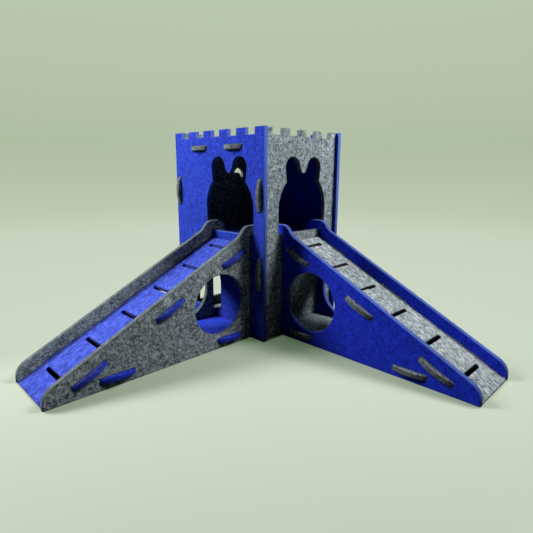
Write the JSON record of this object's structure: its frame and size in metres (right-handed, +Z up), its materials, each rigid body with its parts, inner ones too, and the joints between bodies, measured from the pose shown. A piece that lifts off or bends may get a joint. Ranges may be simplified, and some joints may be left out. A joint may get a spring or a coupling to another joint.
{
  "type": "felt small pet hideout",
  "caption": "Slotted felt castle hideout for small pets: battlemented tower with rabbit-eared doorways, crescent window and lift-off ramps with crawl-through tunnels.",
  "frame": {"origin": "on the ground, under the middle of the whole part's bounding box", "axes": "+Z up; the front wall with the front ramp faces -X, the right wall with the right ramp faces -Y"},
  "size_m": [0.338, 0.357, 0.218],
  "materials": {
    "blue_felt": "matte felt board",
    "grey_felt": "matte heathered felt board"
  },
  "bodies": {
    "tower": {"front_wall": "blue_felt", "rear_wall": "blue_felt", "right_wall": "grey_felt", "left_wall": "grey_felt", "roof_plate": "grey_felt", "upper_floor": "blue_felt"},
    "front_ramp": {"front_ramp_near_side": "grey_felt", "front_ramp_far_side": "grey_felt", "front_ramp_slide": "blue_felt", "front_ramp_floor": "blue_felt"},
    "right_ramp": {"right_ramp_near_side": "blue_felt", "right_ramp_far_side": "blue_felt", "right_ramp_slide": "grey_felt", "right_ramp_floor": "grey_felt"}
  },
  "joints": [
    {"name": "front_ramp_lift", "type": "slide", "parent": "tower", "child": "front_ramp", "axis": [0, 0, 1], "range_m": [0, 0.02]},
    {"name": "right_ramp_lift", "type": "slide", "parent": "tower", "child": "right_ramp", "axis": [0, 0, 1], "range_m": [0, 0.02]}
  ]
}
